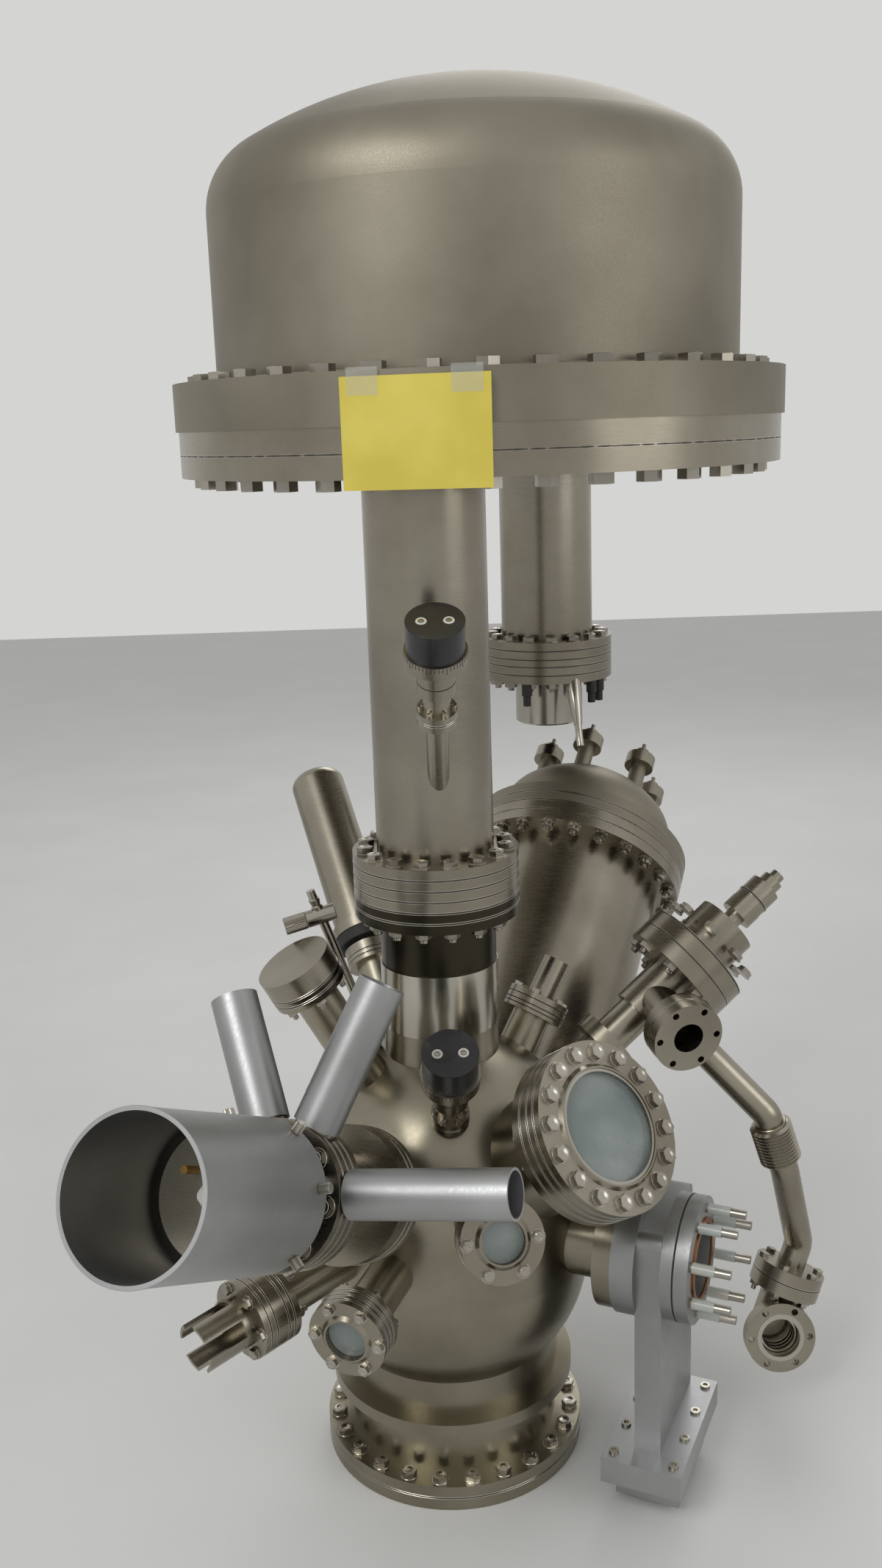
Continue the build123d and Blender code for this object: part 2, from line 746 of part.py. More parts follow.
# ---------------------------------------------------------------- knob drives
def drive_body(point, direction, length):
    """Flange, tube, collar and fixed dial of a knob drive."""
    low = length
    top = low + DN16.thick
    body = rod(DN16.od / 2, low, top) + rod(12.0, top - 1, top + 20) + rod(collar_r, top + 19, top + collar_len)
    body += rod(dial_r, top + collar_len, top + collar_len + dial_len)
    return outward(point, direction) * body


def drive_knob(point, direction, length):
    low = length + DN16.thick + collar_len + dial_len + seat
    body = rod(knob_r, low, low + knob_len)
    return outward(point, direction) * body


# ---------------------------------------------------------------- card
def number_card():
    """Plain card taped to the front of the analyser's plates."""
    front = outward(Vector(analyser_x, analyser_y, 0), heading(-11.5, 0))
    level = column_top + card_h / 2 - 8.0
    return front * Pos(0, level, dome_flange_od / 2 + seat + card_thick / 2) * Box(card_w, card_h, card_thick)


def neck_sleeve():
    return tube(sleeve_od / 2, sleeve_od / 2 - sleeve_wall, sleeve_low, sleeve_high)


def write_ports():
    for name, node, thick, window in (("big_view", "big_view", view_thick, 50.0),
                                      ("left_view", "left_view", small_view_thick, 18.0),
                                      ("front_view", "front_view", small_view_thick, 18.0)):
        save(f"{node}_flange", viewport_flange(name, thick, window))
        save(f"{node}_glass", viewport_glass(name, thick, window))
    save("gun_body", gun_body())
    save("gun_shroud", gun_shroud())
    save("gun_head", gun_head())
    save("gun_pins", gun_pins())
    save("gun_ceramic", gun_ceramic())
    save("gun_side_tubes", gun_side_tubes())
    save("slotted_tube", slotted_tube())
    save("vent_blank", vent_blank())
    save("slant_tube", slant_tube())
    save("slant_collar", slant_collar())
    save("flood_gun", flood_gun())
    save("ion_gun_body", ion_gun_body())
    save("ion_gun_head", ion_gun_head())
    save("ion_gun_tip", ion_gun_tip())


def write_valve_and_line():
    save("valve_body", valve_body())
    save("gate_plate", gate_plate())
    save("valve_adapter", valve_adapter())
    save("copper_gasket", copper_gasket())
    save("valve_studs", valve_studs())
    save("valve_bonnet", valve_bonnet())
    save("valve_actuator", valve_actuator())
    save("pipe_upper", pipe_upper())
    save("bellows", bellows())
    save("pipe_lower", pipe_lower())
    save("tee", tee())


def analyser_nut_set():
    """Nuts under the plates, left out where a column stands in their place (tapped holes there)."""
    nuts = []
    reach = DN100.tube / 2 + m12_flats
    for x, y, turn in ring_points(analyser_bolts, analyser_pcd):
        px, py = analyser_x + x, analyser_y + y
        if min(math.hypot(px, py), math.hypot(px - detector_x, py - detector_y)) > reach:
            nut = extrude(RegularPolygon(m12_flats / math.sqrt(3), 6), m12_nut)
            nuts.append(Pos(px, py, column_top - m12_nut) * Rot(0, 0, turn) * nut)
    return nuts


def m8_bolts():
    """Every M8 hexagon head of the assembly."""
    heads = flange_bolts(Pos(0, 0, 0), DN200, DN200.thick, 7.5)
    heads += flange_bolts(Pos(0, 0, 0), DN100, stack_top, 11.25)
    heads += flange_bolts(Pos(detector_x, detector_y, 0), DN100, detector_top)
    heads += flange_bolts(port_at("big_view"), DN100, PORTS["big_view"].face + view_thick)
    heads += flange_bolts(port_at("gun"), DN63, gun_flange_top)
    return heads


def m6_bolts():
    """Heads on the two small viewports."""
    heads = []
    for name in ("left_view", "front_view"):
        heads += flange_bolts(port_at(name), DN40, PORTS[name].face + small_view_thick)
    return heads


def main():
    os.makedirs("parts", exist_ok=True)
    save("main_chamber", main_chamber())
    save("spare_port", spare_port())
    save("rear_port", own_port("rear"))
    save("neck_sleeve", neck_sleeve())
    save("column_spacer", column_spacer())
    save("column_tube", column_tube())
    save("lens_plate", plate(big_od, column_top, plate_mid))
    save("analyser_base_plate", plate(big_od, plate_mid, dome_z))
    save("analyser_dome", analyser_dome())
    save("detector_column", detector_column())
    save("detector_cap", detector_cap())
    save("rear_cap", rear_cap())
    save("rear_feedthroughs", rear_feedthroughs())
    save("number_card", number_card())
    write_ports()
    write_valve_and_line()
    save("column_drive_body", drive_body(drive_high_point, drive_high_dir, drive_high_stub))
    save("column_drive_knob", drive_knob(drive_high_point, drive_high_dir, drive_high_stub))
    save("chamber_drive_body", drive_body(drive_low_point, drive_low_dir, drive_low_stub))
    save("chamber_drive_knob", drive_knob(drive_low_point, drive_low_dir, drive_low_stub))
    save("flange_bolts", m8_bolts())
    save("viewport_bolts", m6_bolts())
    save("rear_nuts", flange_bolts(port_at("rear"), DN200, PORTS["rear"].face - DN200.thick - 6.5, 0.0, None, 6.5))
    save("analyser_bolts", [centre * h for h in hexagons(analyser_bolts, analyser_pcd, m12_flats,
                                                         dome_z + dome_flange, m12_head)])
    save("analyser_nuts", analyser_nut_set())
    save("detector_spacer", detector_spacer())


main()
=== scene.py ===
"""Looks of the vacuum chamber: materials, seams, fasteners, fittings, light and camera."""
import math
from collections import namedtuple

import bpy
from mathutils import Matrix, Vector


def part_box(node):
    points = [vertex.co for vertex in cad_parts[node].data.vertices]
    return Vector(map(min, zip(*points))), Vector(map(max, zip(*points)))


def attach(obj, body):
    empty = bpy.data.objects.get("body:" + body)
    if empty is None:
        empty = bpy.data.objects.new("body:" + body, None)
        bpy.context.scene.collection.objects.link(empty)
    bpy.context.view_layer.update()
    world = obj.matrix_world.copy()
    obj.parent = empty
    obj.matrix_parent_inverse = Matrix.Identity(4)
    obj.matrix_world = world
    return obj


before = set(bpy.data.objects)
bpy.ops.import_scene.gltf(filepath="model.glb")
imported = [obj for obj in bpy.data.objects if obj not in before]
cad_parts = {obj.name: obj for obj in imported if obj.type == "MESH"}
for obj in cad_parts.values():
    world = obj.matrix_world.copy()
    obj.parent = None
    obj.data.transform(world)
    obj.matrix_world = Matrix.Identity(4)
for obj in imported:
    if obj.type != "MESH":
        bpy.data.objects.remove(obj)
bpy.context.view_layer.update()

MM = 0.001
BODY = "chamber"

# ---------------------------------------------------------------- sizes, in millimetres
AIM = Vector((0, 0, 255))
# name: origin, azimuth, elevation, distance of the flange's outer face
PORTS = {
    "big_view": (AIM, 45, 35, 226),
    "left_view": (AIM, -22.5, -3, 215),
    "front_view": (AIM, 11, 20.5, 237),
    "gun": (AIM, -25, 28, 216),
    "slotted": (AIM, -46, -3.5, 225),
    "vent": (AIM, -70, 62, 279),
    "spare": (Vector((-44, 65, 313)), -100, 33, 92),
    "slant": (AIM, -157.5, 44, 262),
    "flood": (AIM, 128, 53.5, 199),
    "ion": (AIM, 110.5, 36.3, 213),
    "valve": (Vector((0, 0, 238)), 66, 0, 181.5),
    "rear": (Vector((3, 0, 150)), 156.2, 39.6, 510.5),
}
DETECTOR = Vector((139, 440, 0))
ANALYSER = Vector((56, 217, 0))

# Kinds of flange: outer radius, bolt circle, bolts, thickness of one flange, a head's width over its flats
# and its height, a washer's radius, a nut's height
Kind = namedtuple("Kind", "radius circle count thick flats head washer nut", defaults=(None,))
DN40 = Kind(35, 58.7, 6, 12.7, 9, 4, 6.2, 5)
DN63 = Kind(57, 92.1, 8, 17.5, 13, 5.3, 8.4, 6.5)
DN100 = Kind(76, 130.2, 16, 19.8, 13, 5.3, 8.4, 6.5)
DN200 = Kind(126.5, 231.8, 24, 24.5, 13, 5.3, 8.4, 6.5)
DOME = Kind(295, 544, 36, 44, 19, 7.5, 12.2)
DN16_RADIUS, DN16_CIRCLE, DN16_THICK = 17, 27, 7.5
DN35_CIRCLE = 50.5

CORE = 0.1              # a turned solid's profile starts this far from its axis
COLUMN_LOW = 548.0      # underside of the column's flanges
COLUMN_TURN = 11.25     # angle of the column's first bolt
BASE_TURN = 7.5
DETECTOR_LOW = 688.0    # underside of the detector's flanges
SHIM = 8.4
DOME_LOW = 982          # underside of the dome's flange
GUN_TOP = 352           # outer face of the gun's flanges
VIEW_THICK = 17         # thickness of the big viewport's flange
DIAL_RADIUS = 26


# ---------------------------------------------------------------- places
def heading(azimuth, elevation):
    """Unit vector; azimuth from the front towards the right."""
    a, e = math.radians(azimuth), math.radians(elevation)
    return Vector((math.sin(a) * math.cos(e), -math.cos(a) * math.cos(e), math.sin(e)))


def placed(origin, direction):
    """Matrix in metres whose Z axis is the direction and whose X axis is level."""
    z = Vector(direction).normalized()
    x = Vector((0, 0, 1)).cross(z)
    x = x.normalized() if x.length > 1e-6 else Vector((1, 0, 0))
    turn = Matrix((x, z.cross(x), z)).transposed().to_4x4()
    return Matrix.Translation(Vector(origin) * MM) @ turn


def port(name):
    origin, azimuth, elevation, _ = PORTS[name]
    return placed(origin, heading(azimuth, elevation))


def upright(x=0, y=0):
    return placed((x, y, 0), (0, 0, 1))


# ---------------------------------------------------------------- materials
def linear(*rgb):
    """Colour from 0-255 values, as the shader takes it."""
    shares = [c / 255 for c in rgb]
    return tuple(c / 12.92 if c < 0.04045 else ((c + 0.055) / 1.055) ** 2.4 for c in shares) + (1.0,)


def new_material(name):
    material = bpy.data.materials.new(name)
    material.use_nodes = True
    tree = material.node_tree
    return material, tree.nodes, tree.links, tree.nodes["Principled BSDF"]


def noise(nodes, links, scale, stretch=(1, 1, 1), detail=3.0):
    """Noise in the object's own frame, stretched along its axes."""
    coords = nodes.new("ShaderNodeTexCoord")
    mapping = nodes.new("ShaderNodeMapping")
    mapping.inputs["Scale"].default_value = stretch
    texture = nodes.new("ShaderNodeTexNoise")
    texture.inputs["Scale"].default_value = scale
    texture.inputs["Detail"].default_value = detail
    links.new(coords.outputs["Object"], mapping.inputs["Vector"])
    links.new(mapping.outputs["Vector"], texture.inputs["Vector"])
    return texture.outputs["Fac"]


def ramp(nodes, links, value, low, high, start=0.35, end=0.65):
    """Colour ramp between two colours."""
    node = nodes.new("ShaderNodeValToRGB")
    node.color_ramp.elements[0].position = start
    node.color_ramp.elements[1].position = end
    node.color_ramp.elements[0].color = low
    node.color_ramp.elements[1].color = high
    links.new(value, node.inputs["Fac"])
    return node.outputs["Color"]


def spread(nodes, links, value, low, high):
    node = nodes.new("ShaderNodeMapRange")
    node.inputs["From Min"].default_value = 0.3
    node.inputs["From Max"].default_value = 0.7
    node.inputs["To Min"].default_value = low
    node.inputs["To Max"].default_value = high
    links.new(value, node.inputs["Value"])
    return node.outputs["Result"]


def metal(name, dark, light, rough, stretch=(60, 60, 900), grain=1.0, bump=0.006, stain=7.0):
    """Brushed metal: stains in the colour, fine grain in the roughness and the bump."""
    material, nodes, links, shader = new_material(name)
    shader.inputs["Metallic"].default_value = 1.0
    stains = noise(nodes, links, stain, detail=6.0)
    lines = noise(nodes, links, grain, stretch, 2.0)
    links.new(ramp(nodes, links, stains, dark, light), shader.inputs["Base Color"])
    mix = nodes.new("ShaderNodeMath")
    mix.operation = "MULTIPLY"
    links.new(lines, mix.inputs[0])
    links.new(spread(nodes, links, stains, 0.8, 1.25), mix.inputs[1])
    links.new(spread(nodes, links, mix.outputs[0], rough * 0.93, rough * 1.1), shader.inputs["Roughness"])
    relief = nodes.new("ShaderNodeBump")
    relief.inputs["Strength"].default_value = bump
    relief.inputs["Distance"].default_value = 0.0004
    links.new(lines, relief.inputs["Height"])
    links.new(relief.outputs["Normal"], shader.inputs["Normal"])
    return material


def plain(name, low, high, rough, scale=40.0, metallic=0.0, bump=0.05, coat=0.0):
    """Moulded, painted or glazed surface with a little mottling."""
    material, nodes, links, shader = new_material(name)
    shader.inputs["Metallic"].default_value = metallic
    shader.inputs["Coat Weight"].default_value = coat
    mottle = noise(nodes, links, scale, detail=5.0)
    links.new(ramp(nodes, links, mottle, low, high), shader.inputs["Base Color"])
    links.new(spread(nodes, links, mottle, rough * 0.85, rough * 1.2), shader.inputs["Roughness"])
    relief = nodes.new("ShaderNodeBump")
    relief.inputs["Strength"].default_value = bump
    relief.inputs["Distance"].default_value = 0.0003
    links.new(mottle, relief.inputs["Height"])
    links.new(relief.outputs["Normal"], shader.inputs["Normal"])
    return material


def clear(name, colour, rough, alpha):
    """Glass or clear plastic."""
    material, nodes, links, shader = new_material(name)
    smears = noise(nodes, links, 14.0, detail=4.0)
    links.new(ramp(nodes, links, smears, colour, linear(205, 214, 210)), shader.inputs["Base Color"])
    links.new(spread(nodes, links, smears, rough * 0.7, rough * 1.5), shader.inputs["Roughness"])
    shader.inputs["Alpha"].default_value = alpha
    shader.inputs["Coat Weight"].default_value = 0.4
    return material


STEEL = metal("steel", linear(134, 127, 113), linear(160, 154, 140), 0.27)
STEEL_BRIGHT = metal("steel_bright", linear(158, 152, 140), linear(190, 186, 176), 0.2, (500, 500, 500))
STEEL_BLASTED = metal("steel_blasted", linear(128, 122, 108), linear(146, 140, 126), 0.5, (900, 900, 900),
                      bump=0.12)
CHAMBER = metal("chamber", linear(132, 126, 110), linear(162, 156, 139), 0.3, (300, 300, 300), bump=0.03)
FASTENER = metal("fastener", linear(138, 133, 123), linear(176, 171, 160), 0.24, (400, 400, 400))
ALUMINIUM = metal("aluminium", linear(150, 151, 150), linear(176, 177, 177), 0.42, (500, 500, 120),
                  bump=0.06)
COPPER = metal("copper", linear(146, 96, 66), linear(178, 122, 88), 0.32)
BRASS = metal("brass", linear(166, 128, 66), linear(196, 160, 92), 0.25)
KNOB = plain("black_knob", linear(20, 20, 22), linear(34, 34, 36), 0.38, coat=0.2)
DARK = plain("dark_ring", linear(26, 25, 23), linear(40, 38, 35), 0.6)
SEAM = plain("seam", linear(30, 28, 24), linear(46, 43, 37), 0.7)
CERAMIC = plain("ceramic", linear(206, 203, 194), linear(222, 220, 212), 0.3, coat=0.3)
CARD = plain("card", linear(214, 196, 78), linear(226, 209, 96), 0.55, 18.0)
INK = plain("ink", linear(30, 29, 28), linear(42, 41, 39), 0.5)
GLASS = clear("glass", linear(150, 166, 162), 0.06, 0.42)
TAPE = clear("tape", linear(226, 226, 214), 0.2, 0.3)
SLEEVE = clear("sleeve", linear(222, 220, 206), 0.25, 0.6)


def paint_neck_shade(material):
    """Painted shade: the neck above its bright sleeve is painted darker than the body."""
    nodes, links = material.node_tree.nodes, material.node_tree.links
    shader = nodes["Principled BSDF"]
    base = shader.inputs["Base Color"].links[0].from_socket
    coords = nodes.new("ShaderNodeTexCoord")
    axes = nodes.new("ShaderNodeSeparateXYZ")
    links.new(coords.outputs["Object"], axes.inputs["Vector"])
    neck_shade_mask = nodes.new("ShaderNodeMath")
    neck_shade_mask.operation = "MULTIPLY"
    # Mask of the painted shade: the chamber's material above 0.49 m, leaving out the rear tube.
    for i, (axis, low, high) in enumerate((("Z", 0.486, 0.49), ("Y", 0.13, 0.125))):
        step = nodes.new("ShaderNodeMapRange")
        step.inputs["From Min"].default_value = low
        step.inputs["From Max"].default_value = high
        links.new(axes.outputs[axis], step.inputs["Value"])
        links.new(step.outputs["Result"], neck_shade_mask.inputs[i])
    mix = nodes.new("ShaderNodeMix")
    mix.data_type = "RGBA"
    links.new(neck_shade_mask.outputs[0], mix.inputs[0])
    links.new(base, mix.inputs[6])
    # Colour of the painted shade on the neck.
    mix.inputs[7].default_value = linear(62, 58, 48)
    links.new(mix.outputs[2], shader.inputs["Base Color"])


def dress_nodes():
    """Every CAD node gets its finish."""
    finish = {"main_chamber": CHAMBER, "copper_gasket": COPPER, "gun_pins": BRASS, "gun_ceramic": CERAMIC,
              "number_card": CARD, "slant_collar": DARK}
    shared = {
        STEEL_BLASTED: ("analyser_dome", "rear_cap"),
        STEEL_BRIGHT: ("neck_sleeve", "bellows"),
        ALUMINIUM: ("valve_adapter", "gun_shroud", "gun_side_tubes", "valve_body", "valve_bonnet",
                    "valve_actuator"),
        KNOB: ("column_drive_knob", "chamber_drive_knob"),
        GLASS: ("big_view_glass", "left_view_glass", "front_view_glass"),
        FASTENER: ("flange_bolts", "viewport_bolts", "analyser_bolts", "analyser_nuts", "rear_nuts",
                   "valve_studs"),
    }
    for material, names in shared.items():
        for name in names:
            finish[name] = material
    for name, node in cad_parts.items():
        node.data.materials.clear()
        node.data.materials.append(finish.get(name, STEEL))


# ---------------------------------------------------------------- building pieces
def add(name, verts, faces, material, place, body=BODY, smooth=True):
    """Object from points in millimetres, placed in metres, riding on a body."""
    mesh = bpy.data.meshes.new(name)
    mesh.from_pydata([place @ (Vector(v) * MM) for v in verts], [], faces)
    mesh.materials.append(material)
    mesh.validate()
    for face in mesh.polygons:
        face.use_smooth = smooth
    piece = bpy.data.objects.new(name, mesh)
    bpy.context.scene.collection.objects.link(piece)
    if smooth:
        mesh.set_sharp_from_angle(angle=math.radians(35))
    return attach(piece, body)


def turned(profile, segments, offset=(0, 0, 0), start=0):
    """Points and faces of a closed profile of (radius, height) turned round Z."""
    verts, faces = [], []
    count = len(profile)
    for i in range(segments):
        a = 2 * math.pi * i / segments
        cos, sin = math.cos(a), math.sin(a)
        verts += [(offset[0] + r * cos, offset[1] + r * sin, offset[2] + h) for r, h in profile]
    for i in range(segments):
        j = (i + 1) % segments
        for k in range(count):
            m = (k + 1) % count
            here, there = start + i * count, start + j * count
            faces.append((here + k, there + k, there + m, here + m))
    return verts, faces


def ring(name, place, inner, outer, low, high, material, segments=96, body=BODY, bevel=0.3):
    """Flat ring with small chamfers."""
    profile = [(inner, low), (outer - bevel, low), (outer, low + bevel), (outer, high - bevel),
               (outer - bevel, high), (inner, high)]
    verts, faces = turned(profile, segments)
    return add(name, verts, faces, material, place, body)


def lathe(name, place, profile, material, segments=48, body=BODY):
    """Turned solid; its profile of (radius, height) starts and ends beside the axis."""
    verts, faces = turned(profile, segments)
    return add(name, verts, faces, material, place, body)


def circle(count, across, start=0.0):
    """Points of a bolt circle of that diameter."""
    for i in range(count):
        a = math.radians(start + 360 * i / count)
        yield across / 2 * math.cos(a), across / 2 * math.sin(a)


def many(name, place, spots, profile, material, segments=20, body=BODY):
    """The same small turned piece at many spots, as one object."""
    verts, faces = [], []
    for spot in spots:
        more, sides = turned(profile, segments, spot, len(verts))
        verts += more
        faces += sides
    return add(name, verts, faces, material, place, body)


def bolt_spots(kind, level, start=0.0):
    return [(x, y, level) for x, y in circle(kind.count, kind.circle, start)]


def hexagon(corner, side, top, height):
    """Profile of a hexagon head: radius at the corners, height of its side, radius and height of its top."""
    return [(CORE, 0), (corner, 0), (corner, side), (top, height), (CORE, height)]


HEAD_DN35 = hexagon(4.6, 3.6, 4.1, 4)
HEAD_DN40 = hexagon(5.2, 3.4, 4.6, 4)
HEAD_DN63 = hexagon(7.4, 4.6, 6.6, 5.3)


def washers(name, place, kind, level, start=0.0):
    r = kind.washer
    profile = [(CORE, 0), (r - 0.3, 0), (r, 0.3), (r, 1.3), (r - 0.3, 1.6), (CORE, 1.6)]
    return many(name, place, bolt_spots(kind, level, start), profile, STEEL_BRIGHT)


def nuts(name, place, kind, level, start=0.0, point=4.0):
    """Hexagon nuts with the ends of their bolts, pointing down from a level."""
    spots = bolt_spots(kind, level, start)
    height, flats = kind.nut, kind.flats
    corner = flats / math.sqrt(3)
    nut = [(CORE, 0), (corner, 0), (corner, -height + 0.6), (corner - 0.9, -height), (CORE, -height)]
    many(name, place, spots, nut, FASTENER, 6)
    end = [(CORE, 1 - height), (flats * 0.29, 1 - height), (flats * 0.29, 0.5 - height - point),
           (flats * 0.24, -height - point), (CORE, -height - point)]
    many(name + "_ends", place, spots, end, FASTENER, 14)


def head_tops(name, place, kind, level, start=0.0):
    """Raised round face and centre dimple on hexagon heads."""
    r = kind.flats / 2 - 0.6
    profile = [(CORE, 0), (r, 0), (r - 0.5, 0.35), (r * 0.5, 0.35), (r * 0.42, 0.1), (CORE, 0.1)]
    return many(name, place, bolt_spots(kind, level, start), profile, STEEL_BRIGHT, 18)


def seams(name, place, radius, levels):
    """Dark parting lines between flanges, with a bright ring on each side as a painted highlight on the
    chamfer.
    """
    inner, proud = radius - 2, radius + 0.2
    for i, level in enumerate(levels):
        ring(f"{name}_line_{i}", place, inner, radius + 0.12, level - 0.45, level + 0.45, SEAM, bevel=0.1)
        # The two bright rings are painted highlights on the flanges' chamfers.
        ring(f"{name}_low_{i}", place, inner, proud, level - 1.3, level - 0.55, STEEL_BRIGHT, bevel=0.2)
        ring(f"{name}_high_{i}", place, inner, proud, level + 0.55, level + 1.3, STEEL_BRIGHT, bevel=0.2)


def bolted(name, place, kind, top, start=0.0):
    """Washers let into a face and the dressed tops of the heads on it."""
    washers(f"{name}_washers", place, kind, top - 1.2, start)
    head_tops(f"{name}_heads", place, kind, top + kind.head, start)


# ---------------------------------------------------------------- flanges and fasteners
def dress_columns():
    levels = [COLUMN_LOW + k * DN100.thick / 2 for k in range(1, 6)]
    seams("column_seam", upright(), DN100.radius, levels)
    bolted("column", upright(), DN100, COLUMN_LOW + 3 * DN100.thick, COLUMN_TURN)
    nuts("column_nuts", upright(), DN100, COLUMN_LOW, COLUMN_TURN)
    low = DETECTOR_LOW
    top = low + 2 * DN100.thick + SHIM
    place = upright(DETECTOR.x, DETECTOR.y)
    seams("detector_seam", place, DN100.radius,
          [low + 9.9, low + DN100.thick, low + DN100.thick + SHIM, top - 9.9])
    bolted("detector", place, DN100, top)
    nuts("detector_nuts", place, DN100, low)
    centre = upright(ANALYSER.x, ANALYSER.y)
    dome_top = DOME_LOW + DOME.thick
    seams("plate_seam", centre, DOME.radius, [960.0])
    washers("dome_washers", centre, DOME, dome_top - 1.4)
    head_tops("dome_heads", centre, DOME, dome_top + DOME.head)
    ring("dome_weld", centre, 253, 257.5, dome_top - 0.5, dome_top + 3, STEEL, bevel=1.2)


def dress_detector_end():
    """Can under the detector's flanges, with its leaning feedthrough and small connectors."""
    low = DETECTOR_LOW
    place = upright(DETECTOR.x, DETECTOR.y)
    lathe("detector_can", place, [(CORE, low - 0.5), (38.5, low - 0.5), (38.5, low - 54), (36.5, low - 56),
                                  (CORE, low - 56)], STEEL_BRIGHT, 64)
    start = Vector((163, 380, 696))
    arm = Vector((168, 340, 620)) - start
    lathe("detector_arm", placed(start, arm), [(CORE, 0), (9, 0), (9, 20), (5, 60), (4, 62), (4, 86),
                                               (CORE, 86)], STEEL_BRIGHT, 28)
    plug = [(CORE, low), (6, low), (6, low - 14), (4.5, low - 15), (4.5, low - 26), (CORE, low - 26)]
    for i, (x, y) in enumerate(((186, 388), (196, 400), (110, 376))):
        lathe(f"detector_plug_{i}", upright(x, y), plug, DARK, 20)


def dress_vent_valve():
    """Thin tube, cross body and knurled knob of the small vent valve."""
    foot, top = Vector((-61, 9, 405)), Vector((-109, 7, 542))
    across = Vector((-0.95, -0.2, -0.22)).normalized()
    rise = (top - foot).normalized()
    length = (top - foot).length
    tube = [(CORE, 0), (4.5, 0), (4.5, length), (CORE, length)]
    body = [(CORE, -14), (7.4, -14), (8, -13.4), (8, 13.4), (7.4, 14), (CORE, 14)]
    barb = [(CORE, 4), (5, 4), (5.5, 10), (4.2, 11), (5.5, 17), (4.2, 18), (4, 26), (CORE, 26)]
    lathe("vent_tube", placed(foot, rise), tube, STEEL_BRIGHT, 24)
    lathe("vent_body", placed(top, across), body, STEEL_BRIGHT, 32)
    knurled("vent_knob", placed(top, across), 14, 8, 21)
    lathe("vent_barb", placed(top, rise), barb, STEEL_BRIGHT, 24)


def dress_base():
    seams("base_seam", upright(), DN200.radius, [12.2])
    bolted("base", upright(), DN200, DN200.thick, BASE_TURN)
    rear = port("rear")
    seams("rear_seam", rear, DN200.radius, [498.2, 510.5, 522.8])
    washers("rear_washers", rear, DN200, 485.2)
    nuts("rear_ends", rear, DN200, 486)


def dress_ports():
    big, face = port("big_view"), PORTS["big_view"][3]
    seams("big_view_seam", big, DN100.radius, [face - 9.9, face, face + VIEW_THICK / 2])
    bolted("big_view", big, DN100, face + VIEW_THICK)
    nuts("big_view_nuts", big, DN100, face - DN100.thick)
    ring("big_view_wire", big, 47.6, 50.4, 243.4, 245.0, STEEL_BRIGHT)
    for name in ("left_view", "front_view"):
        place, face = port(name), PORTS[name][3]
        seams(f"{name}_seam", place, DN40.radius, [face - 6.3, face, face + 6.3])
        bolted(name, place, DN40, face + DN40.thick)
        nuts(f"{name}_nuts", place, DN40, face - DN40.thick, point=5)
    for name, radius, steps in (("slotted", 35, (-6.3, 0, 12.7, 19)), ("vent", 35, (-6.3, 0)),
                                ("spare", 35, (-6.3,)), ("flood", 31, (-4, 0, 6)), ("slant", 27, (-5, 0))):
        seams(f"{name}_seam", port(name), radius, [PORTS[name][3] + s for s in steps])
    for name in ("slotted", "vent"):
        nuts(f"{name}_nuts", port(name), DN40, PORTS[name][3] - DN40.thick, point=5)
    slotted_top = PORTS["slotted"][3] + 2 * DN40.thick
    washers("slotted_washers", port("slotted"), DN40, slotted_top - 1.2)
    many("slotted_heads", port("slotted"), bolt_spots(DN40, slotted_top), HEAD_DN40, FASTENER, 6)
    flood_spots = [(x, y, PORTS["flood"][3] + 12) for x, y in circle(6, DN35_CIRCLE)]
    many("flood_heads", port("flood"), flood_spots, HEAD_DN35, FASTENER, 6)


def dress_gun():
    gun = port("gun")
    seams("gun_root_seam", gun, DN63.radius, [207.2, PORTS["gun"][3]])
    seams("gun_seam", gun, DN63.radius, [322, 332, 342])
    bolted("gun", gun, DN63, GUN_TOP)
    nuts("gun_nuts", gun, DN63, PORTS["gun"][3] - DN63.thick)
    ring("shroud_rim", gun, 54.2, 57.4, 536.6, 538.6, ALUMINIUM)
    for i, turn in enumerate((62.0, 15.0, -40.0, 120.0)):
        side = gun @ Matrix.Rotation(math.radians(turn), 4, "Z") @ Matrix.Translation((0, 0, 0.383))
        side = side @ Matrix.Rotation(math.radians(90), 4, "Y")
        knurled(f"thumb_screw_{i}", side, 57, 4.2, 9)


def knurled(name, place, low, radius, length, body=BODY):
    """Knurled screw head: a cylinder whose rim is cut into fine teeth."""
    count = 56
    verts, faces = [], []
    for level, scale in ((low, 0.92), (low + 0.5, 1), (low + length - 0.5, 1), (low + length, 0.9)):
        for i in range(count):
            a = 2 * math.pi * i / count
            r = radius * scale * (1.0 if i % 2 else 0.93)
            verts.append((r * math.cos(a), r * math.sin(a), level))
    for k in range(3):
        here, there = k * count, (k + 1) * count
        for i in range(count):
            j = (i + 1) % count
            faces.append((here + i, here + j, there + j, there + i))
    faces.append(tuple(range(3 * count, 4 * count)))
    faces.append(tuple(reversed(range(count))))
    return add(name, verts, faces, STEEL_BRIGHT, place, body, smooth=False)


